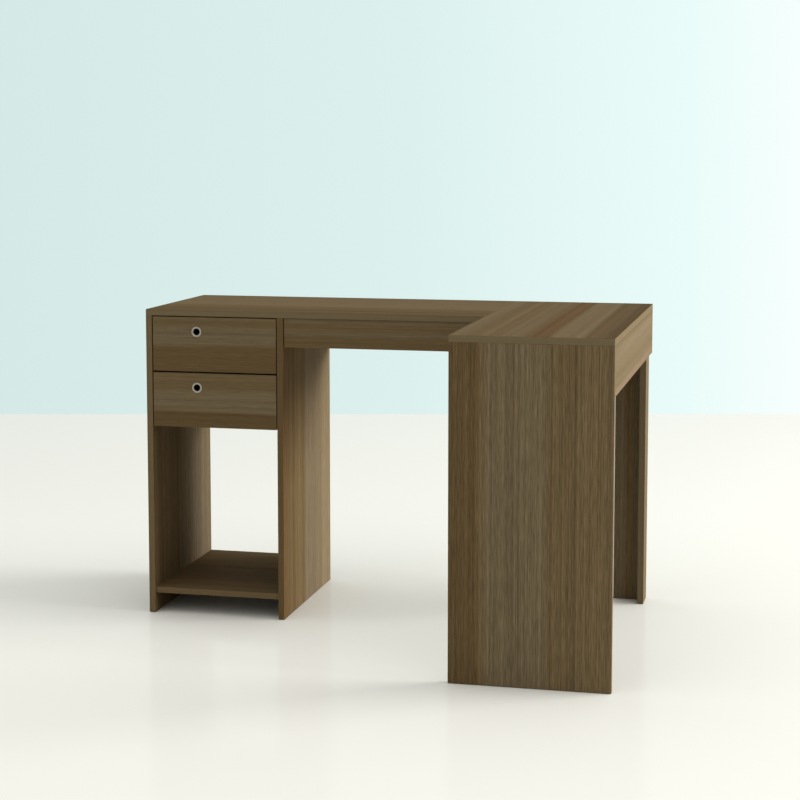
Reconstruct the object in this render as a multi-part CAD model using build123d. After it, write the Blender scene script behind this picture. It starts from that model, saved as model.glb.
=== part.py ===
"""Corner desk in faced chipboard: a two-drawer pedestal, a main top and a narrow return at a right angle.

The frame stands on the floor with its origin under the middle of the desk. X runs along the main top,
Y points to the wall behind it and Z is up. The return reaches forward on the right-hand side.
"""

import os

from build123d import *

# Overall sizes of the desk, in millimetres
overall_width = 1185
overall_depth = 845
overall_height = 750
main_depth = 425
return_width = 350
pedestal_width = 346

# Boards: faced chipboard with banded edges, thinner boards in the drawers
board = 15
drawer_board = 12
bottom_sheet = 3
arris = 0.5

# Pieces under the tops
shelf_height = 49
shelf_setback = 5
front_apron_height = 70
front_apron_setback = 4
front_apron_end_gap = 1.5
rail_height = 108
leg_side_width = 75
leg_back_width = 65

# Drawer fronts and boxes
front_height = 132
front_side_gap = 2.5
front_top_gap = 2.5
front_between_gap = 4
box_lift = 14
box_top_drop = 19
drawer_rear_space = 45
sheet_lift = 10
groove_depth = 5
groove_play = 0.3
housing_depth = 5

# Finger pull: a metal eyelet pressed through the drawer front
ring_from_left = 112
ring_from_top = 35
ring_radius = 13
ring_bore_radius = 8
ring_sleeve_wall = 2
ring_rim = 2
ring_rim_bevel = 1

# Roller runners: bent steel sections with one nylon roller on each half
runner_space = 12.5
runner_steel = 1.2
runner_setback = 2
runner_overlap = 90
track_drop = 9
roller_radius = 10
roller_width = 6
roller_inset = 12
roller_play = 0.3
roller_side_play = 0.4
axle_radius = 3
axle_fit = 0.1
axle_head_radius = 4.5
axle_head = 0.9
lip_play = 0.5
lip_reach = 8.3
flange_play = 0.8
flange_wall_gap = 2.2
stop_height = 5
stop_play = 0.5

# Dowels, steel brackets and glides
dowel_radius = 4
dowel_depth = 20
fixing_fit = 0.05
end_play = 0.5
bracket_leg = 28
bracket_width = 20
bracket_steel = 2
shelf_bracket_inset = 140
plate_length = 80
plate_width = 25
glide_length = 36
glide_width = 10
glide_thickness = 3
glide_proud = 1
fixing_inset = 60

# Places worked out from the sizes
left = -overall_width / 2
right = overall_width / 2
front = -overall_depth / 2
back = overall_depth / 2
main_front = back - main_depth
return_left = right - return_width
under_top = overall_height - board
mid_board = board / 2
pedestal_left = left + board
divider_right = left + pedestal_width
divider_left = divider_right - board
leg_inner = right - mid_board - board
rail_bottom = under_top - rail_height
lowest_front_edge = under_top - front_top_gap - 2 * front_height - front_between_gap
drawer_length = main_depth - 2 * board - drawer_rear_space
drawer_travel = drawer_length - runner_overlap

DOWN = Vector(0, 0, -1)
TO_RIGHT = Vector(1, 0, 0)
TO_LEFT = Vector(-1, 0, 0)
TO_BACK = Vector(0, 1, 0)
TO_FRONT = Vector(0, -1, 0)

pieces = {}
cuts = {}
groups = {}


def block(x0, x1, y0, y1, z0, z1):
    """A plain box between its lowest and highest corners."""
    middle = Pos((x0 + x1) / 2, (y0 + y1) / 2, (z0 + z1) / 2)
    return middle * Box(x1 - x0, y1 - y0, z1 - z0)


def add_board(node, x0, x1, y0, y1, z0, z1):
    """A board whose banded edges are broken by the arris."""
    blank = block(x0, x1, y0, y1, z0, z1)
    pieces[node] = chamfer(blank.edges(), arris)


def rod(start, direction, radius, length):
    """A round bar that begins at start and runs along direction."""
    across = TO_RIGHT if abs(direction.X) < 0.5 else TO_BACK
    seat = Plane(origin=start, x_dir=across, z_dir=direction)
    return seat * Cylinder(radius, length, align=(Align.CENTER, Align.CENTER, Align.MIN))


def cut(node, tool):
    """Keeps one more cut to be made in a piece."""
    cuts.setdefault(node, []).append(tool)


def gather(node, solid):
    """Puts one more separate solid in a node of like pieces."""
    groups.setdefault(node, []).append(solid)


# Tops: the main top butts against the left edge of the return's top
add_board("main_top", left, return_left, main_front, back, under_top, overall_height)
add_board("return_top", return_left, right, front, back, under_top, overall_height)

# Upright panels, raised off the floor by their glides
add_board("left_side_panel", left, pedestal_left, main_front, back, glide_proud, under_top)
add_board("divider_panel", divider_left, divider_right, main_front, back, glide_proud, under_top)
add_board("front_leg_panel", return_left, right, front, front + board, glide_proud, under_top)

# Aprons and rail that stiffen the tops
apron_left = divider_right + front_apron_end_gap
apron_front = main_front + front_apron_setback
apron_back = apron_front + board
apron_bottom = under_top - front_apron_height
add_board("right_apron", right - board, right, front + board, back, rail_bottom, under_top)
add_board("front_apron", apron_left, right - board, apron_front, apron_back, apron_bottom, under_top)
add_board("back_rail", divider_right, leg_inner, back - board, back, rail_bottom, under_top)

# Rear corner leg: two strips in an L. The side strip is rebated by half its thickness at its head, so the
# right apron sits on the shoulder and covers the tongue, and the other strip stands against the back rail
leg_outline = Polyline(
    (leg_inner, glide_proud),
    (leg_inner + board, glide_proud),
    (leg_inner + board, rail_bottom),
    (leg_inner + mid_board, rail_bottom),
    (leg_inner + mid_board, under_top),
    (leg_inner, under_top),
    close=True,
)
leg_blank = extrude(make_face(Plane.XZ * leg_outline), amount=leg_side_width, dir=TO_BACK)
pieces["corner_leg_side"] = Pos(0, back - leg_side_width, 0) * leg_blank
strip_back = back - board
strip_front = strip_back - board
strip_left = leg_inner - leg_back_width
add_board("corner_leg_back", strip_left, leg_inner, strip_front, strip_back, glide_proud, under_top)

# Pedestal: an open shelf near the floor and a panel behind the drawers
shelf_top = shelf_height + board
shelf_front = main_front + shelf_setback
add_board("bottom_shelf", pedestal_left, divider_left, shelf_front, back, shelf_height, shelf_top)
add_board("pedestal_back_panel", pedestal_left, divider_left, strip_back, back, lowest_front_edge, under_top)

# Glued beech dowels that keep the two tops level with each other
dowel_hole = dowel_radius + fixing_fit
for y in (main_front + fixing_inset, back - fixing_inset):
    point = Vector(return_left, y, under_top + mid_board)
    gather("dowels", rod(point + TO_LEFT * dowel_depth, TO_RIGHT, dowel_radius, 2 * dowel_depth))
    cut("main_top", rod(point, TO_LEFT, dowel_hole, dowel_depth + end_play))
    cut("return_top", rod(point, TO_RIGHT, dowel_hole, dowel_depth + end_play))


def angle_bracket(corner, out, other=DOWN):
    """A bent steel bracket in an inside corner, with one leg along each of the two boards."""
    outline = Polyline(
        (0, 0),
        (bracket_leg, 0),
        (bracket_leg, bracket_steel),
        (bracket_steel, bracket_steel),
        (bracket_steel, bracket_leg),
        (0, bracket_leg),
        close=True,
    )
    section = Plane(origin=corner, x_dir=out, z_dir=out.cross(other)) * make_face(outline)
    gather("angle_brackets", extrude(section, amount=bracket_width / 2, both=True))


apron_mid_height = under_top - front_apron_height / 2
rail_mid_height = under_top - rail_height / 2
main_third = (return_left - divider_right) / 3
rear_bracket_x = (return_left + strip_left) / 2
side_bracket_y = back - leg_side_width + bracket_width
strip_bracket_x = strip_left + bracket_width
for height, inset in ((under_top, fixing_inset), (shelf_height, shelf_bracket_inset)):
    for y in (main_front + inset, back - 2 * fixing_inset):
        angle_bracket(Vector(pedestal_left, y, height), TO_RIGHT)
        angle_bracket(Vector(divider_left, y, height), TO_LEFT)
for x in (return_left + fixing_inset, right - fixing_inset):
    angle_bracket(Vector(x, front + board, under_top), TO_BACK)
for x in (divider_right + main_third, divider_right + 2 * main_third, rear_bracket_x):
    angle_bracket(Vector(x, apron_back, under_top), TO_BACK)
    angle_bracket(Vector(x, strip_back, under_top), TO_FRONT)
for y in (front + 2 * fixing_inset, main_front - fixing_inset):
    angle_bracket(Vector(right - board, y, under_top), TO_LEFT)
angle_bracket(Vector((pedestal_left + divider_left) / 2, strip_back, under_top), TO_FRONT)
angle_bracket(Vector(leg_inner, side_bracket_y, under_top), TO_LEFT)
angle_bracket(Vector(strip_bracket_x, strip_front, under_top), TO_FRONT)
angle_bracket(Vector(divider_right, apron_back, apron_mid_height), TO_RIGHT, TO_BACK)
angle_bracket(Vector(divider_right, strip_back, rail_mid_height), TO_RIGHT, TO_FRONT)
angle_bracket(Vector(right - board, apron_back, apron_mid_height), TO_LEFT, TO_BACK)
angle_bracket(Vector(right - board, front + board, rail_mid_height), TO_LEFT, TO_BACK)

# Flat steel plates across the joint under the two tops
for share in (1 / 3, 2 / 3):
    y = main_front + main_depth * share
    plate_from = return_left - plate_length / 2
    plate_to = return_left + plate_length / 2
    y_low = y - plate_width / 2
    y_high = y + plate_width / 2
    gather("joining_plates", block(plate_from, plate_to, y_low, y_high, under_top - bracket_steel, under_top))


def floor_glide(node, x, y, along):
    """A plastic glide let into the bottom edge of a panel, with its sole just proud of the board."""
    half_x = glide_length / 2 if along is TO_RIGHT else glide_width / 2
    half_y = glide_width / 2 if along is TO_RIGHT else glide_length / 2
    body = block(x - half_x, x + half_x, y - half_y, y + half_y, 0, glide_thickness)
    gather("floor_glides", body)
    cut(node, body)


for y in (main_front + fixing_inset, back - fixing_inset):
    floor_glide("left_side_panel", left + mid_board, y, TO_BACK)
    floor_glide("divider_panel", divider_left + mid_board, y, TO_BACK)
for x in (return_left + fixing_inset, right - fixing_inset):
    floor_glide("front_leg_panel", x, front + mid_board, TO_RIGHT)
floor_glide("corner_leg_side", leg_inner + mid_board, back - leg_side_width / 2, TO_BACK)
floor_glide("corner_leg_back", leg_inner - leg_back_width / 2, strip_front + mid_board, TO_RIGHT)

# Runner levels above the underside of the drawer box, and places along Y
track_top = runner_steel - track_drop
rear_roller_up = track_top + roller_play + roller_radius
lip_under = rear_roller_up + roller_radius + lip_play
flange_top = lip_under - flange_play
flange_under = flange_top - runner_steel
front_roller_up = flange_under - roller_play - roller_radius
track_reach = runner_space - runner_steel - roller_side_play
box_front = main_front + board
box_rear = box_front + drawer_length
runner_start = box_front + runner_setback
runner_end = runner_start + drawer_length
front_roller_y = runner_start + roller_inset
rear_roller_y = box_rear - roller_inset
stop_y = rear_roller_y - drawer_travel - roller_radius - stop_play - runner_steel


def bent_steel(points, wall, inward, box_under, y_start, y_end):
    """A steel section carried along Y, from points of distance off the wall and height above the box."""
    outline = [(wall + inward * gap, box_under + rise) for gap, rise in points]
    section = make_face(Plane.XZ * Polyline(*outline, close=True))
    return Pos(0, y_start, 0) * extrude(section, amount=y_end - y_start, dir=TO_BACK)


def headed_axle(start, along):
    """A riveted axle: a plain pin with a flat head on its free end."""
    reach = roller_width + 2 * roller_side_play
    pin = rod(start, along, axle_radius, reach)
    return pin + rod(start + along * reach, along, axle_head_radius, axle_head)


def roller(web_face, along):
    """A nylon roller that turns on the axle, a little clear of the web."""
    start = web_face + along * roller_side_play
    return rod(start, along, roller_radius, roller_width) - rod(
        start, along, axle_radius + axle_fit, roller_width
    )


def cabinet_runner(name, hand, wall, inward, box_under):
    """The half on the panel: a web with a track, a lip over it and a stop, and a roller at its front end."""
    side = Vector(inward, 0, 0)
    web_and_lip = [
        (runner_steel, lip_under),
        (runner_steel + lip_reach, lip_under),
        (runner_steel + lip_reach, lip_under + runner_steel),
        (0, lip_under + runner_steel),
        (0, -track_drop),
    ]
    front_half = web_and_lip + [(runner_steel, -track_drop)]
    back_half = web_and_lip + [
        (track_reach, -track_drop),
        (track_reach, track_top),
        (runner_steel, track_top),
    ]
    stop = [
        (runner_steel, track_top),
        (track_reach, track_top),
        (track_reach, track_top + stop_height),
        (runner_steel, track_top + stop_height),
    ]
    web_face = Vector(wall + inward * runner_steel, front_roller_y, box_under + front_roller_up)
    runner = bent_steel(front_half, wall, inward, box_under, runner_start, stop_y)
    runner += bent_steel(back_half, wall, inward, box_under, stop_y, runner_end)
    runner += bent_steel(stop, wall, inward, box_under, stop_y, stop_y + runner_steel)
    runner += headed_axle(web_face, side)
    pieces[name + "cabinet_runner_" + hand] = runner
    pieces[name + "front_roller_" + hand] = roller(web_face, side)


def drawer_runner(name, hand, wall, inward, box_under):
    """The half on the drawer: it wraps the side's lower edge, and its flange rolls on the front roller."""
    side = Vector(inward, 0, 0)
    web_gap = runner_space - runner_steel
    flange_end = rear_roller_y - roller_inset
    foot_reach = runner_space + drawer_board
    web_and_foot = [
        (web_gap, -runner_steel),
        (foot_reach, -runner_steel),
        (foot_reach, 0),
        (runner_space, 0),
        (runner_space, flange_top),
        (web_gap, flange_top),
    ]
    flange = [
        (flange_wall_gap, flange_under),
        (web_gap, flange_under),
        (web_gap, flange_top),
        (flange_wall_gap, flange_top),
    ]
    web_face = Vector(wall + inward * web_gap, rear_roller_y, box_under + rear_roller_up)
    runner = bent_steel(web_and_foot, wall, inward, box_under, box_front, box_rear)
    runner += bent_steel(flange, wall, inward, box_under, box_front, flange_end)
    runner += headed_axle(web_face, -side)
    pieces[name + "drawer_runner_" + hand] = runner
    pieces[name + "rear_roller_" + hand] = roller(web_face, -side)


def pull_ring(node, front_node, x, z):
    """A metal eyelet: a bevelled rim on the drawer front and a sleeve through it for a fingertip."""
    sleeve_radius = ring_bore_radius + ring_sleeve_wall
    rim = Cylinder(ring_radius, ring_rim, align=(Align.CENTER, Align.CENTER, Align.MIN))
    sleeve = Cylinder(sleeve_radius, board, align=(Align.CENTER, Align.CENTER, Align.MAX))
    eyelet = rim + sleeve - Cylinder(ring_bore_radius, 2 * (board + ring_rim))
    rim_edges = eyelet.edges().filter_by(GeomType.CIRCLE).group_by(Axis.Z)[-1]
    eyelet = chamfer(rim_edges.sort_by(SortBy.RADIUS)[-1], ring_rim_bevel)
    pieces[node] = Plane(origin=(x, main_front, z), x_dir=TO_RIGHT, z_dir=TO_FRONT) * eyelet
    cut(front_node, rod(Vector(x, main_front, z), TO_BACK, sleeve_radius + fixing_fit, board))


def drawer(name, front_top):
    """One drawer: front, two sides, back, bottom sheet, finger ring and both halves of its runners."""
    front_left = pedestal_left + front_side_gap
    front_right = divider_left - front_side_gap
    front_bottom = front_top - front_height
    box_under = front_bottom + box_lift
    box_top = front_top - box_top_drop
    box_left = pedestal_left + runner_space
    box_right = divider_left - runner_space
    inner_left = box_left + drawer_board
    inner_right = box_right - drawer_board
    sheet_under = box_under + sheet_lift
    sheet_top = sheet_under + bottom_sheet
    front_node = name + "drawer_front"
    left_node = name + "drawer_left_side"
    right_node = name + "drawer_right_side"
    back_node = name + "drawer_back"

    add_board(front_node, front_left, front_right, main_front, box_front, front_bottom, front_top)

    # The sides are glued into housings in the front, and the back into rebates at the sides' rear ends
    side_front = box_front - housing_depth
    rebate_front = box_rear - drawer_board
    back_left = inner_left - housing_depth
    back_right = inner_right + housing_depth
    add_board(left_node, box_left, inner_left, side_front, box_rear, box_under, box_top)
    add_board(right_node, inner_right, box_right, side_front, box_rear, box_under, box_top)
    add_board(back_node, back_left, back_right, rebate_front, box_rear, sheet_top, box_top)
    cut(front_node, block(box_left, inner_left, side_front, box_front, box_under, box_top))
    cut(front_node, block(inner_right, box_right, side_front, box_front, box_under, box_top))
    cut(left_node, block(back_left, inner_left, rebate_front, box_rear, sheet_top, box_top))
    cut(right_node, block(inner_right, back_right, rebate_front, box_rear, sheet_top, box_top))

    # The bottom sheet slides in grooves of the sides and the front, under the back board
    tongue = groove_depth - groove_play
    sheet_left = inner_left - tongue
    sheet_right = inner_right + tongue
    groove_left = inner_left - groove_depth
    groove_right = inner_right + groove_depth
    groove_front = box_front - groove_depth
    groove_top = sheet_top + groove_play
    sheet = block(sheet_left, sheet_right, box_front - tongue, box_rear, sheet_under, sheet_top)
    groove = block(groove_left, groove_right, groove_front, box_rear, sheet_under, groove_top)
    pieces[name + "drawer_bottom"] = sheet
    for node in (left_node, right_node, front_node):
        cut(node, groove)

    pull_ring(name + "pull_ring", front_node, front_left + ring_from_left, front_top - ring_from_top)
    for hand, wall, inward in (("left", pedestal_left, 1), ("right", divider_left, -1)):
        cabinet_runner(name, hand, wall, inward, box_under)
        drawer_runner(name, hand, wall, inward, box_under)


upper_front_top = under_top - front_top_gap
drawer("upper_", upper_front_top)
drawer("lower_", upper_front_top - front_height - front_between_gap)

os.makedirs("parts", exist_ok=True)
for node, blank in pieces.items():
    finished = blank - cuts[node] if node in cuts else blank
    export_step(finished, f"parts/{node}.step")
for node, solids in groups.items():
    export_step(Compound(children=solids), f"parts/{node}.step")
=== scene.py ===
import math

import bpy
import numpy as np
from mathutils import Matrix, Vector


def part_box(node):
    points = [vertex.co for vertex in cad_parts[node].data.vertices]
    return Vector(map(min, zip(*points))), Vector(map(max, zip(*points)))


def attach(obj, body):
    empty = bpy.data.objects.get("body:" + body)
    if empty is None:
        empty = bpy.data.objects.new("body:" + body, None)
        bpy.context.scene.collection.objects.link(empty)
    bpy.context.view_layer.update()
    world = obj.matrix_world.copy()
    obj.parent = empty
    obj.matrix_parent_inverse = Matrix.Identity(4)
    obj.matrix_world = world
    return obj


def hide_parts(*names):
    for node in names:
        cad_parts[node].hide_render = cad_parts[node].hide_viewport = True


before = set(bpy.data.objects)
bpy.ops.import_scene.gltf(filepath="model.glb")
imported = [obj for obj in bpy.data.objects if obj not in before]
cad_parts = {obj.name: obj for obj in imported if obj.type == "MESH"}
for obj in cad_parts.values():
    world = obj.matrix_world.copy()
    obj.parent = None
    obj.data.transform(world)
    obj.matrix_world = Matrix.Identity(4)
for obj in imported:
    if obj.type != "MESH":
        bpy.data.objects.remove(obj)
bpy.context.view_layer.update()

# Side panels of the pedestal: chipboard 15 mm thick, faced with printed wood-grain foil and banded all round.
# They stand upright and carry the drawers, the shelf and the left end of the main top on steel brackets. The
# foil is printed in straight stripes of a few browns, with fine streaks and short pores along the grain.
foil_tones = {
    "umber": (90, 72, 48),
    "russet": (99, 76, 49),
    "brown": (98, 80, 54),
    "tan": (104, 86, 59),
    "mid": (107, 90, 64),
    "drab": (107, 93, 70),
    "honey": (110, 93, 67),
    "olive": (112, 98, 74),
    "rose": (115, 97, 76),
    "ash": (114, 99, 77),
    "fawn": (124, 108, 83),
    "pale": (130, 114, 91),
}
foil_level = 0.97
stripe_blend = 0.006
stripe_wander = 0.006
foil_layers = {
    "cloud": {"along": 0.4, "across": 34, "detail": 3},
    "vein": {"along": 0.25, "across": 95, "detail": 2},
    "streak": {"along": 0.15, "across": 230, "detail": 2, "roughness": 0.6},
    "line": {"along": 6, "across": 280, "detail": 1},
    "pore": {"along": 26, "across": 400, "detail": 1},
}
soft_swing = {"cloud": 0.08, "vein": 0.07}
fine_swing = {"streak": 0.19, "line": 0.11, "pore": 0.20}
face_limit = 0.5
band_calm = 0.35
# How far the painted highlight on the arrises reaches, and how much lighter it makes them
arris_highlight_reach = 0.0012
arris_highlight_gain = 0.22
lacquer_specular = 0.006
lacquer_dull = 0.76
lacquer_satin = 0.64
noise_low = 0.3
noise_high = 0.7
# Range of the patch noise that breaks up the painted highlight on the arrises
arris_highlight_low = 0.42
arris_highlight_high = 0.66
upright = 2


def linear(red, green, blue):
    """Turns a colour of 0 to 255 into scene light: ((c + 0.055) / 1.055) ** 2.4 for each channel."""
    share = np.array((red, green, blue)) / 255
    light = np.where(share > 0.04045, ((share + 0.055) / 1.055) ** 2.4, share / 12.92)
    return (*light.tolist(), 1.0)


def shade(tree, kind, sockets, **settings):
    """Adds one shader node with its settings, and fills or links its inputs."""
    made = tree.nodes.new("ShaderNode" + kind)
    for name, value in settings.items():
        setattr(made, name, value)
    for key, value in sockets.items():
        if isinstance(value, bpy.types.NodeSocket):
            tree.links.new(value, made.inputs[key])
        else:
            made.inputs[key].default_value = value
    return made


def work_out(tree, operation, *values):
    """One step of arithmetic with sockets or numbers."""
    return shade(tree, "Math", dict(enumerate(values)), operation=operation).outputs[0]


def range_map(tree, value, low, high, to_low, to_high):
    """Carries a value from one range to another, held at both ends."""
    sockets = {"Value": value, "From Min": low, "From Max": high, "To Min": to_low, "To Max": to_high}
    return shade(tree, "MapRange", sockets).outputs[0]


def noise_map(tree, noise, to_low, to_high):
    """Carries the range in which most of a noise lies to another range."""
    return range_map(tree, noise, noise_low, noise_high, to_low, to_high)


def two_tone(tree, share, first, second):
    """A colour between two others, by a share of 0 to 1."""
    return shade(tree, "Mix", {0: share, 6: first, 7: second}, data_type="RGBA").outputs[2]


def relief(tree, shader, height, strength, depth):
    """Makes the surface look raised where a noise is high."""
    bump = shade(tree, "Bump", {"Strength": strength, "Distance": depth, "Height": height})
    tree.links.new(bump.outputs[0], shader.inputs["Normal"])


def noise_along(tree, vector, along, across, detail, roughness=0.55):
    """Noise stretched along the grain, with so many cells to the metre along and across it."""
    scaled = shade(tree, "VectorMath", {0: vector, 1: (along, across, across)}, operation="MULTIPLY")
    cells = {"Vector": scaled.outputs[0], "Scale": 1.0, "Detail": detail, "Roughness": roughness}
    return shade(tree, "TexNoise", cells).outputs[0]


def new_finish(name):
    """A material with its node tree and its surface shader."""
    material = bpy.data.materials.new(name)
    material.use_nodes = True
    return material, material.node_tree, material.node_tree.nodes["Principled BSDF"]


def dress(node, material):
    """Gives a CAD node its finish."""
    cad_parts[node].material_slots[0].material = material


def edge_distance(tree, place, low, high):
    """How far a point of a board's surface is from the nearest arris.

    Each axis gives the depth below the nearer face, half the size minus the distance from the middle. On
    the surface the least of the three is nought, so the answer is the middle one: sum - least - greatest.
    """
    middle = (low + high) / 2
    half = (high - low) / 2
    off = shade(tree, "VectorMath", {0: place, 1: middle}, operation="SUBTRACT")
    away = shade(tree, "VectorMath", {0: off.outputs[0]}, operation="ABSOLUTE")
    depth = shade(tree, "VectorMath", {0: half, 1: away.outputs[0]}, operation="SUBTRACT").outputs[0]
    total = shade(tree, "VectorMath", {0: depth, 1: (1, 1, 1)}, operation="DOT_PRODUCT").outputs["Value"]
    split = shade(tree, "SeparateXYZ", {0: depth}).outputs
    least = work_out(tree, "MINIMUM", work_out(tree, "MINIMUM", split[0], split[1]), split[2])
    greatest = work_out(tree, "MAXIMUM", work_out(tree, "MAXIMUM", split[0], split[1]), split[2])
    return work_out(tree, "SUBTRACT", work_out(tree, "SUBTRACT", total, least), greatest)


def faced_board(node, grain, stripes, band="olive", strength=0.7):
    """Foil on a board: stripes across it, streaks and pores along it, banded edges and painted arris
    highlights.

    grain is the axis that the figure runs along, 0, 1 or 2. stripes lists where each stripe begins, in metres
    from the board's lower side, and its tone. band is the tone of the calmer band on the board's edges, and
    strength says how plainly the fine streaks show on the faces.
    """
    low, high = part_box(node)
    size = high - low
    thin = min(range(3), key=lambda axis: size[axis])
    across = 3 - grain - thin
    material, tree, shader = new_finish("foil_" + node)
    place = shade(tree, "TexCoord", {}).outputs["Object"]
    coords = shade(tree, "SeparateXYZ", {0: place}).outputs
    facing = shade(tree, "SeparateXYZ", {0: shade(tree, "NewGeometry", {}).outputs["Normal"]}).outputs
    banded = work_out(tree, "LESS_THAN", work_out(tree, "ABSOLUTE", facing[thin]), face_limit)
    ended = work_out(tree, "GREATER_THAN", work_out(tree, "ABSOLUTE", facing[grain]), face_limit)
    on_face = shade(tree, "CombineXYZ", {0: coords[grain], 1: coords[across], 2: coords[thin]}).outputs[0]
    on_end = shade(tree, "CombineXYZ", {0: coords[across], 1: coords[thin], 2: coords[grain]}).outputs[0]
    figure = shade(tree, "Mix", {0: ended, 4: on_face, 5: on_end}, data_type="VECTOR").outputs[1]

    # Stripes, which wander a little from side to side
    bend = noise_along(tree, figure, along=1.3, across=9, detail=2)
    spot = work_out(tree, "ADD", coords[across], noise_map(tree, bend, -stripe_wander, stripe_wander))
    ramp = shade(tree, "ValToRGB", {0: range_map(tree, spot, low[across], high[across], 0, 1)})
    stops = ramp.color_ramp.elements
    stops[0].color = linear(*foil_tones[stripes[0][1]])
    stops[1].color = linear(*foil_tones[stripes[-1][1]])
    for (_, before), (start, after) in zip(stripes, stripes[1:]):
        for shift, tone in ((-stripe_blend, before), (stripe_blend, after)):
            stop = stops.new((start + shift) / size[across])
            stop.color = linear(*foil_tones[tone])
    colour = two_tone(tree, banded, ramp.outputs[0], linear(*foil_tones[band]))

    # Soft figure, broad veins and fine streaks that run the whole length, shorter lines and very short pores
    layers = {name: noise_along(tree, figure, **cells) for name, cells in foil_layers.items()}
    swings = soft_swing | {name: swing * strength for name, swing in fine_swing.items()}
    tint = 1.0
    for name, swing in swings.items():
        tint = work_out(tree, "MULTIPLY", tint, noise_map(tree, layers[name], 1 - swing, 1 + swing))
    calm = range_map(tree, banded, 0, 1, 1.0, band_calm)
    change = work_out(tree, "SUBTRACT", tint, 1.0)
    tint = work_out(tree, "MULTIPLY_ADD", change, calm, foil_level)

    # Painted highlight along the arrises, lighter in patches
    near_arris = range_map(tree, edge_distance(tree, place, low, high), 0, arris_highlight_reach, 1.0, 0.0)
    patch = noise_along(tree, figure, along=14, across=14, detail=2)
    painted_highlight = work_out(tree, "MULTIPLY", near_arris, range_map(tree, patch, arris_highlight_low, arris_highlight_high, 0.0, arris_highlight_gain))
    tint = work_out(tree, "ADD", tint, painted_highlight)
    colour = shade(tree, "VectorMath", {0: colour, "Scale": tint}, operation="SCALE").outputs[0]
    tree.links.new(colour, shader.inputs["Base Color"])

    # Satin lacquer, a little duller in the dark streaks
    shader.distribution = "GGX"
    shader.inputs["Specular IOR Level"].default_value = lacquer_specular
    gloss = noise_map(tree, layers["streak"], lacquer_dull, lacquer_satin)
    tree.links.new(gloss, shader.inputs["Roughness"])
    relief(tree, shader, layers["pore"], strength=0.25, depth=0.0002)
    dress(node, material)


# The left panel's stripes are its print and also painted shade and light: darker in the front half, where
# shade falls inside the pedestal, and paler towards the back.
faced_board(
    "left_side_panel",
    upright,
    [
        (0, "brown"),
        (0.06, "tan"),
        (0.11, "brown"),
        (0.18, "mid"),
        (0.205, "olive"),
        (0.23, "fawn"),
        (0.26, "pale"),
        (0.375, "fawn"),
    ],
    "honey",
)
# The divider's stripes are its print and also painted shade and light: darker at the front, where the tops
# and aprons shade it, and lighter towards the back.
faced_board(
    "divider_panel",
    upright,
    [(0, "russet"), (0.03, "brown"), (0.10, "tan"), (0.19, "ash"), (0.33, "fawn")],
    "brown",
    0.55,
)

# Bottom shelf and the panel behind the drawers: the same faced board, set between the two side panels. The
# shelf lies on brackets and its figure runs from side to side. The panel squares the pedestal from behind.
side_to_side = 0
faced_board("bottom_shelf", side_to_side, [(0, "brown"), (0.09, "umber"), (0.26, "brown")], "mid")
faced_board("pedestal_back_panel", side_to_side, [(0, "mid"), (0.09, "olive"), (0.17, "brown")])

# Front leg of the return: one upright faced panel as wide as the return's top, with its figure running up.
# It stands on glides and is held to the top and the right apron by brackets.
faced_board(
    "front_leg_panel",
    upright,
    [
        (0, "brown"),
        (0.068, "mid"),
        (0.080, "olive"),
        (0.130, "drab"),
        (0.158, "olive"),
        (0.212, "mid"),
        (0.272, "honey"),
        (0.302, "mid"),
        (0.328, "honey"),
    ],
    strength=0.95,
)

# Rear corner leg: two narrow faced strips in an L with upright figure. The side strip's head is rebated
# behind the right apron, and the other strip stands against the back rail.
faced_board("corner_leg_side", upright, [(0, "drab"), (0.055, "ash")], "drab")
faced_board("corner_leg_back", upright, [(0, "drab"), (0.03, "brown"), (0.05, "drab")])

# Aprons and back rail: faced boards on edge under the tops, with their figure running lengthwise. They keep
# the tops from sagging and are held by brackets on the inside.
front_to_back = 1
faced_board(
    "front_apron",
    side_to_side,
    [(0, "tan"), (0.03, "drab"), (0.046, "tan"), (0.060, "drab")],
    strength=0.4,
)
faced_board(
    "right_apron",
    front_to_back,
    [(0, "rose"), (0.02, "drab"), (0.06, "ash"), (0.09, "drab")],
    strength=0.3,
)
faced_board("back_rail", side_to_side, [(0, "mid"), (0.035, "olive"), (0.075, "brown")])

# Tops: two boards of the same chipboard, faced on both sides and banded all round. The main top's figure runs
# along the wall, and the return's top butts against it with its figure at right angles.
faced_board(
    "main_top",
    side_to_side,
    [(0, "brown"), (0.05, "umber"), (0.07, "brown"), (0.12, "tan"), (0.15, "honey"), (0.29, "mid")],
    strength=0.45,
)
faced_board(
    "return_top",
    front_to_back,
    [
        (0, "honey"),
        (0.036, "tan"),
        (0.110, "mid"),
        (0.150, "tan"),
        (0.170, "russet"),
        (0.212, "honey"),
        (0.285, "brown"),
        (0.330, "umber"),
    ],
    strength=0.28,
)

# Fittings of the carcass: bent angle brackets and flat joining plates of zinc-plated steel, and two beech
# dowels. The brackets hold the boards square from inside, the plates and dowels hold the two tops level.
zinc_light = linear(176, 178, 180)
zinc_dark = linear(138, 141, 146)
zinc_cell = 0.006
zinc_rough = 0.42
patch_low = 0.35
patch_high = 0.65
polish = 0.06
tarnish = 0.08
beech_light = linear(214, 178, 132)
beech_dark = linear(186, 146, 100)


def even_noise(tree, scale, detail, roughness=0.5):
    """Noise that is alike in all directions, with so many cells to the metre."""
    place = shade(tree, "TexCoord", {}).outputs["Object"]
    cells = {"Vector": place, "Scale": scale, "Detail": detail, "Roughness": roughness}
    return shade(tree, "TexNoise", cells).outputs[0]


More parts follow.
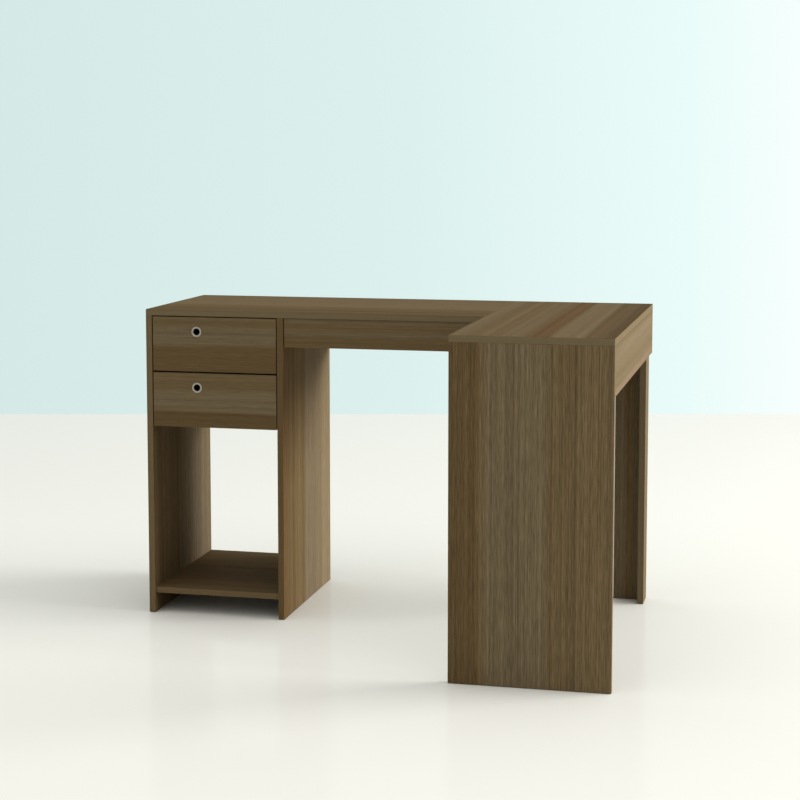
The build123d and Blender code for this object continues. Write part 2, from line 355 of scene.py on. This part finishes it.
def plated_steel(name, light, dark, cell, rough):
    """Plated steel: two greys in soft patches of the cell's size, with a roughness that follows them."""
    material, tree, shader = new_finish(name)
    patch = even_noise(tree, scale=1 / cell, detail=4, roughness=0.6)
    colour = two_tone(tree, range_map(tree, patch, patch_low, patch_high, 0, 1), light, dark)
    tree.links.new(colour, shader.inputs["Base Color"])
    tree.links.new(noise_map(tree, patch, rough - polish, rough + tarnish), shader.inputs["Roughness"])
    shader.inputs["Metallic"].default_value = 1.0
    relief(tree, shader, patch, strength=0.2, depth=0.0001)
    return material


zinc = plated_steel("zinc_plate", zinc_light, zinc_dark, zinc_cell, zinc_rough)
dress("angle_brackets", zinc)
dress("joining_plates", zinc)
beech, tree, shader = new_finish("beech")
place = shade(tree, "TexCoord", {}).outputs["Object"]
fibre = noise_along(tree, place, along=8, across=900, detail=3)
colour = two_tone(tree, noise_map(tree, fibre, 0, 1), beech_light, beech_dark)
tree.links.new(colour, shader.inputs["Base Color"])
shader.inputs["Roughness"].default_value = 0.7
dress("dowels", beech)

# Floor glides: small moulded soles of dark plastic, let into the bottom edges of the panels. They stand just
# proud of the boards and keep the banded edges off the floor.
glide_dark = linear(36, 32, 29)
glide_light = linear(52, 47, 42)
glide_plastic, tree, shader = new_finish("glide_plastic")
grit = even_noise(tree, scale=700, detail=2)
colour = two_tone(tree, noise_map(tree, grit, 0, 1), glide_dark, glide_light)
tree.links.new(colour, shader.inputs["Base Color"])
shader.inputs["Roughness"].default_value = 0.6
dress("floor_glides", glide_plastic)

# Wood screws of the brackets and plates: zinc-plated steel, with pan heads and a pressed cross recess.
# One goes through each leg of a bracket, and four through each plate.
head_radius = 0.0036
head_height = 0.0017
head_sides = 32
head_circles = np.array((0.08, 0.16, 0.26, 0.36, 0.48, 0.58, 0.66, 0.80, 0.92, 0.98, 1.0))
recess_half = 0.0005
recess_reach = 0.0021
recess_depth = 0.0011
screw_leg = 0.018
bracket_steel = 0.002
bracket_facets = 20
plate_facets = 12
plate_screws = np.array((0.1, 0.34, 0.66, 0.9))


def solid_boxes(node, facets):
    """Lowest and highest corners of the like solids in a node, and the mean of their vertices.

    The mesh holds the solids one after another with the same number of triangles each.
    """
    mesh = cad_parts[node].data
    index = np.empty(len(mesh.loops), np.int32)
    mesh.loops.foreach_get("vertex_index", index)
    points = np.empty(len(mesh.vertices) * 3, np.float32)
    mesh.vertices.foreach_get("co", points)
    corners = points.reshape(-1, 3)[index].reshape(-1, 3 * facets, 3)
    return corners.min(1), corners.max(1), corners.mean(1)


def new_piece(name, points, facets, material):
    """A smooth piece of the visual model with its mesh and its material."""
    mesh = bpy.data.meshes.new(name)
    mesh.from_pydata(points, [], facets.tolist())
    mesh.materials.append(material)
    mesh.shade_smooth()
    piece = bpy.data.objects.new(name, mesh)
    bpy.context.scene.collection.objects.link(piece)
    return piece


def screw_heads(name, seats, outward, body):
    """Pan heads on a polar grid: z = height * (1 - (r / R) ** 4) ** 0.5, less a cross recess in the middle.

    seats are the points under the heads and outward their axes, one row for each screw. The recess has its
    full depth where |x| or |y| is under its half width and r is inside its reach, with steep walls.
    """
    turns = np.linspace(0, 2 * np.pi, head_sides, endpoint=False)
    r, t = np.meshgrid(head_radius * head_circles, turns, indexing="ij")
    x = r * np.cos(t)
    y = r * np.sin(t)
    z = head_height * np.sqrt(1 - (r / head_radius) ** 4)
    arm = np.minimum(np.abs(x), np.abs(y))
    inside_arm = np.clip((2 * recess_half - arm) / recess_half, 0, 1)
    inside_reach = np.clip((recess_reach - r) / recess_half, 0, 1)
    z = z - recess_depth * inside_arm * inside_reach
    top = np.array([[0, 0, head_height - recess_depth]])
    foot = np.zeros((1, 3))
    local = np.vstack([top, np.stack([x, y, z], -1).reshape(-1, 3), foot])
    here = 1 + np.arange(r.size).reshape(r.shape)
    after = np.roll(here, -1, 1)
    fan = np.stack([np.zeros(head_sides, int), here[0], after[0]], -1)
    side_a = np.stack([here[:-1], here[1:], after[1:]], -1).reshape(-1, 3)
    side_b = np.stack([here[:-1], after[1:], after[:-1]], -1).reshape(-1, 3)
    foot_fan = np.stack([np.full(head_sides, len(local) - 1), after[-1], here[-1]], -1)
    facets = np.vstack([fan, side_a, side_b, foot_fan])

    # One copy of the head for each seat, turned to its axis
    seats = np.asarray(seats, float).reshape(-1, 3)
    axis = np.asarray(outward, float).reshape(-1, 3)
    helper = np.where(np.abs(axis[:, 2:]) > 0.5, np.array([[1.0, 0, 0]]), np.array([[0, 0, 1.0]]))
    sideways = np.cross(helper, axis)
    basis = np.stack([sideways, np.cross(axis, sideways), axis], 1)
    points = (local @ basis + seats[:, None]).reshape(-1, 3)
    starts = np.arange(len(seats))[:, None, None] * len(local)
    piece = new_piece(name, points, (facets[None] + starts).reshape(-1, 3), zinc)
    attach(piece, body)


# A bracket's corner is on the side where the mean of its vertices lies, and each leg has one seat
low, high, mean = solid_boxes("angle_brackets", bracket_facets)
middle = (low + high) / 2
rows = np.arange(len(low))
width_axis = np.argmin(high - low, 1)
into = np.where(mean > middle, -1.0, 1.0)
corner = np.where(into > 0, low, high)
seats = []
outward = []
for turn in (1, 2):
    along = (width_axis + turn) % 3
    normal = (width_axis + 3 - turn) % 3
    seat = corner.copy()
    seat[rows, width_axis] = middle[rows, width_axis]
    seat[rows, along] += into[rows, along] * screw_leg
    seat[rows, normal] += into[rows, normal] * bracket_steel
    axis = np.zeros_like(seat)
    axis[rows, normal] = into[rows, normal]
    seats.append(seat)
    outward.append(axis)
screw_heads("bracket_screws", np.vstack(seats), np.vstack(outward), "desk")

# Four seats in a row on the underside of each plate
low, high, _ = solid_boxes("joining_plates", plate_facets)
seats = np.repeat(((low + high) / 2)[:, None], len(plate_screws), 1)
seats[:, :, 0] = low[:, :1] + (high - low)[:, :1] * plate_screws
seats[:, :, 2] = low[:, 2:]
screw_heads("plate_screws", seats, np.broadcast_to((0.0, 0.0, -1.0), seats.shape), "desk")

# Roller runners: bent steel sections with a cream coating, one half screwed to each panel and one under each
# drawer side. The nylon rollers turn on riveted axles, and a stop keeps the drawer from falling out.
coating_light = linear(226, 222, 211)
coating_dark = linear(208, 203, 190)
coating_smooth = 0.36
coating_rough = 0.5
smear_low = 0.35
smear_high = 0.7
nylon_light = linear(240, 239, 233)
nylon_dark = linear(224, 222, 213)
runner_steel = 0.0012
drawer_side = 0.012
cabinet_web_level = 0.0115
drawer_web_level = 0.0062
runner_screws = np.array((0.045, 0.19, 0.32))
drawer_screw_shift = 0.01
runner_coating, tree, shader = new_finish("runner_coating")
peel = even_noise(tree, scale=420, detail=2)
smear = even_noise(tree, scale=18, detail=3)
colour = two_tone(tree, range_map(tree, smear, smear_low, smear_high, 0, 1), coating_light, coating_dark)
tree.links.new(colour, shader.inputs["Base Color"])
tree.links.new(noise_map(tree, smear, coating_smooth, coating_rough), shader.inputs["Roughness"])
relief(tree, shader, peel, strength=0.15, depth=0.0001)
roller_nylon, tree, shader = new_finish("roller_nylon")
haze = even_noise(tree, scale=160, detail=3)
colour = two_tone(tree, noise_map(tree, haze, 0, 1), nylon_light, nylon_dark)
tree.links.new(colour, shader.inputs["Base Color"])
shader.inputs["Roughness"].default_value = 0.45
shader.inputs["Subsurface Weight"].default_value = 0.1
shader.inputs["Subsurface Radius"].default_value = (0.002, 0.002, 0.002)
for drawer in ("upper", "lower"):
    seats = []
    drawer_seats = []
    inward = []
    for hand, inner in (("left", 1), ("right", -1)):
        for node in ("cabinet_runner_", "drawer_runner_"):
            dress(f"{drawer}_{node}{hand}", runner_coating)
        for node in ("front_roller_", "rear_roller_"):
            dress(f"{drawer}_{node}{hand}", roller_nylon)
        low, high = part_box(f"{drawer}_cabinet_runner_{hand}")
        web = low.x + runner_steel if inner > 0 else high.x - runner_steel
        stations = low.y + runner_screws
        seats += [(web, y, low.z + cabinet_web_level) for y in stations]
        low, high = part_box(f"{drawer}_drawer_runner_{hand}")
        web = high.x - drawer_side - runner_steel if inner > 0 else low.x + drawer_side + runner_steel
        drawer_seats += [(web, y, low.z + drawer_web_level) for y in stations - drawer_screw_shift]
        inward += [(inner, 0, 0)] * len(stations)
    screw_heads(drawer + "_cabinet_runner_screws", seats, inward, "desk")
    screw_heads(drawer + "_drawer_runner_screws", drawer_seats, -np.array(inward), drawer + "_drawer")

# Drawer boxes: thinner faced boards, the sides glued into the front and the back into the sides. The bottom
# is a sheet of hardboard that slides in grooves.
hardboard_light = linear(122, 98, 68)
hardboard_dark = linear(94, 73, 48)
fleck_share = 0.7
mottle_share = 0.3
hardboard, tree, shader = new_finish("hardboard")
fleck = even_noise(tree, scale=900, detail=3, roughness=0.7)
mottle = even_noise(tree, scale=25, detail=3)
flecks = noise_map(tree, fleck, 0.0, fleck_share)
darkness = work_out(tree, "ADD", flecks, noise_map(tree, mottle, 0.0, mottle_share))
colour = two_tone(tree, darkness, hardboard_light, hardboard_dark)
tree.links.new(colour, shader.inputs["Base Color"])
shader.inputs["Roughness"].default_value = 0.72
relief(tree, shader, fleck, strength=0.2, depth=0.0002)
for drawer in ("upper", "lower"):
    dress(drawer + "_drawer_bottom", hardboard)
    faced_board(drawer + "_drawer_left_side", front_to_back, [(0, "mid"), (0.03, "olive"), (0.07, "mid")])
    faced_board(drawer + "_drawer_right_side", front_to_back, [(0, "olive"), (0.04, "mid"), (0.08, "olive")])
    faced_board(drawer + "_drawer_back", side_to_side, [(0, "mid"), (0.05, "olive")])

# Drawer fronts: faced boards with the figure running from side to side. Each is bored for its ring, and
# housed and grooved on the inside for the sides and the bottom of its drawer.
upper_stripes = [(0, "brown"), (0.062, "olive"), (0.106, "mid")]
lower_stripes = [(0, "brown"), (0.038, "olive"), (0.090, "mid")]
faced_board("upper_drawer_front", side_to_side, upper_stripes, strength=0.45)
faced_board("lower_drawer_front", side_to_side, lower_stripes, strength=0.45)

# Pull rings: turned eyelets of satin nickel, pressed through the drawer fronts. A flat rim with rounded edges
# lies on the front, and the sleeve behind it makes a smooth hole for a fingertip.
rim_radius = 0.0128
rim_round = 0.0008
lip_round = 0.0011
bore_radius = 0.008
sleeve_radius = 0.0099
round_points = 7
ring_sides = 96
crease = math.radians(40)
nickel_light = linear(172, 160, 148)
nickel_dark = linear(154, 143, 132)
nickel_cell = 0.003
nickel_rough = 0.36
nickel = plated_steel("satin_nickel", nickel_light, nickel_dark, nickel_cell, nickel_rough)


def turned_ring(name, node, body):
    """A closed profile of radius and depth turned round the hole: x = r cos t, z = r sin t, y = depth.

    Quarter circles round the rim's outer edge and the lip of the hole, straight lines join the rest.
    """
    low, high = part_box(node)
    centre = (low + high) / 2
    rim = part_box(node.replace("pull_ring", "drawer_front"))[0].y
    quarter = np.linspace(0, np.pi / 2, round_points)
    outer_r = rim_radius - rim_round + rim_round * np.cos(quarter)
    outer_y = low.y + rim_round - rim_round * np.sin(quarter)
    lip_r = bore_radius + lip_round - lip_round * np.sin(quarter)
    lip_y = low.y + lip_round - lip_round * np.cos(quarter)
    r = np.concatenate([[rim_radius], outer_r, lip_r, [bore_radius, sleeve_radius, sleeve_radius]])
    depth = np.concatenate([[rim], outer_y, lip_y, [high.y, high.y, rim]])
    turns = np.linspace(0, 2 * np.pi, ring_sides, endpoint=False)
    x = centre.x + r[:, None] * np.cos(turns)
    z = centre.z + r[:, None] * np.sin(turns)
    y = np.broadcast_to(depth[:, None], x.shape)
    here = np.arange(x.size).reshape(x.shape)
    beside = np.roll(here, -1, 1)
    quads = np.stack([here, np.roll(here, -1, 0), np.roll(beside, -1, 0), beside], -1).reshape(-1, 4)
    piece = new_piece(name, np.stack([x, y, z], -1).reshape(-1, 3), quads, nickel)
    piece.data.set_sharp_from_angle(angle=crease)
    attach(piece, body)
    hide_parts(node)


turned_ring("upper_turned_ring", "upper_pull_ring", "upper_drawer")
turned_ring("lower_turned_ring", "lower_pull_ring", "lower_drawer")

# Floor: a plain pale studio floor, which ends in a straight line behind the desk, square to the camera.
# Its faint sheen mirrors the desk and the wall a little.
camera_place = Vector((1.0049, -4.1614, 1.1521))
camera_turn = math.radians(13.052)
floor_end = 7.712
floor_half = 14.0
forward = Vector((-math.sin(camera_turn), math.cos(camera_turn), 0))
sideways = Vector((math.cos(camera_turn), math.sin(camera_turn), 0))
far_middle = Vector((camera_place.x, camera_place.y, 0)) + forward * floor_end
far_corners = [far_middle - sideways * floor_half, far_middle + sideways * floor_half]
near_corners = [corner - forward * 2 * floor_half for corner in reversed(far_corners)]
floor_mesh = bpy.data.meshes.new("floor")
floor_mesh.from_pydata([tuple(corner) for corner in far_corners + near_corners], [], [(3, 2, 1, 0)])
floor = bpy.data.objects.new("floor", floor_mesh)
bpy.context.scene.collection.objects.link(floor)
floor_paint, tree, shader = new_finish("studio_floor")
shader.inputs["Base Color"].default_value = linear(236, 235, 226)
shader.inputs["Roughness"].default_value = 0.12
shader.inputs["Specular IOR Level"].default_value = 0.018
floor_mesh.materials.append(floor_paint)

# Backdrop: a pale cyan wall of light, brighter towards the lamp. The camera and reflections see the wall's
# colour, and the object gets even white light, more of it from above.
wall_left = -0.43
wall_right = -0.012
horizon_light = 0.41
zenith_light = 1.06
world = bpy.data.worlds.new("studio")
bpy.context.scene.world = world
world.use_nodes = True
tree = world.node_tree
tree.nodes.clear()
ray = shade(tree, "LightPath", {}).outputs
seen = work_out(tree, "MAXIMUM", ray["Is Camera Ray"], ray["Is Glossy Ray"])
heading = shade(tree, "SeparateXYZ", {0: shade(tree, "TexCoord", {}).outputs["Generated"]}).outputs
ramp = shade(tree, "ValToRGB", {0: range_map(tree, heading[0], wall_left, wall_right, 0, 1)})
wall_stops = ramp.color_ramp.elements
wall_stops[0].color = linear(213, 233, 231)
wall_stops[1].color = linear(246, 255, 254)
wall_stops.new(0.5).color = linear(220, 240, 238)
wall_stops.new(0.86).color = linear(234, 252, 249)
height_light = range_map(tree, heading[2], 0, 1, horizon_light, zenith_light)
ambient = shade(tree, "Background", {"Color": (1, 1, 1, 1), "Strength": height_light}).outputs[0]
wall = shade(tree, "Background", {"Color": ramp.outputs[0], "Strength": 1.0}).outputs[0]
mixed = shade(tree, "MixShader", {0: seen, 1: ambient, 2: wall}).outputs[0]
shade(tree, "OutputWorld", {"Surface": mixed})

# Studio lamp: one large soft box on the right, which leaves a soft shadow on the floor to the left. A grid
# narrows its light, and it is kept out of reflections, so that the floor near it stays plain.
lamp_data = bpy.data.lights.new("soft_box", "AREA")
lamp_data.shape = "RECTANGLE"
lamp_data.size = 8.0
lamp_data.size_y = 3.0
lamp_data.spread = math.radians(90)
lamp_data.energy = 436
lamp = bpy.data.objects.new("soft_box", lamp_data)
lamp_place = Vector((10.5, 1.9, 2.95))
lamp_aim = Vector((0, -0.6, 0.4))
lamp_turn = (lamp_aim - lamp_place).to_track_quat("-Z", "Y").to_matrix().to_4x4()
lamp.matrix_world = Matrix.Translation(lamp_place) @ lamp_turn
lamp.visible_glossy = False
bpy.context.scene.collection.objects.link(lamp)

# Camera: it stands where the photograph was taken from, dipped and turned towards the desk. Its lens is
# shifted a little, so that the upright edges stay nearly upright.
camera_dip = math.radians(5.551)
camera_data = bpy.data.cameras.new("camera")
camera_data.sensor_width = 36
camera_data.lens = 82.19
camera_data.shift_y = -0.10
camera = bpy.data.objects.new("camera", camera_data)
camera.location = camera_place
camera.rotation_euler = (math.pi / 2 - camera_dip, 0, camera_turn)
bpy.context.scene.collection.objects.link(camera)
bpy.context.scene.camera = camera
bpy.context.scene.view_settings.view_transform = "Standard"
